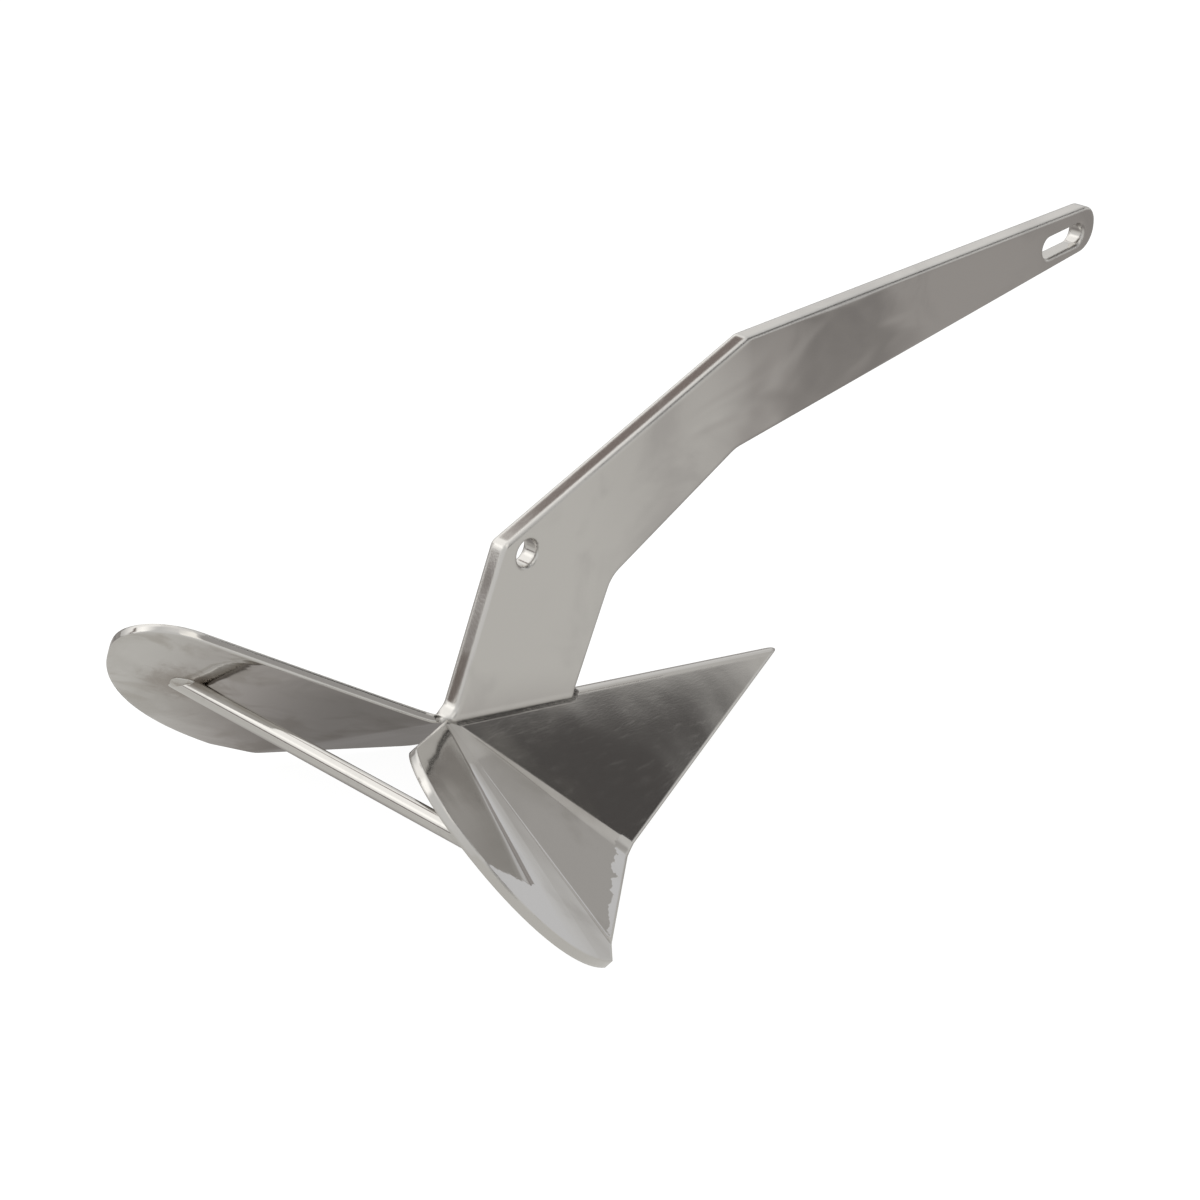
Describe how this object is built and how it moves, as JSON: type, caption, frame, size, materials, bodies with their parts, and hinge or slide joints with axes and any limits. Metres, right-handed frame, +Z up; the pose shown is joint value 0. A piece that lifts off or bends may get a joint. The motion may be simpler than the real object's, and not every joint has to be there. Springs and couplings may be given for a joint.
{
  "type": "plough anchor",
  "caption": "Fixed plough anchor in polished stainless steel: a cranked flat shank welded on a folded plate fluke, with a cross bar behind the heel.",
  "frame": {"origin": "middle of the anchor's bounding box, at floor level, as it stands on its toe and two chines", "axes": "+X from the heel towards the toe and the shank's shackle end, +Z up, y = 0 is the mirror plane through the shank"},
  "size_m": [0.707, 0.3384, 0.2236],
  "materials": {
    "fluke_steel": "mirror polished stainless steel",
    "shank_steel": "mirror polished stainless steel with faint grain",
    "bar_steel": "polished stainless round bar",
    "ballast_steel": "ground stainless steel"
  },
  "bodies": {
    "root": {"fluke": "fluke_steel", "shank": "shank_steel", "cross_bar": "bar_steel", "toe_ballast": "ballast_steel"}
  },
  "joints": []
}
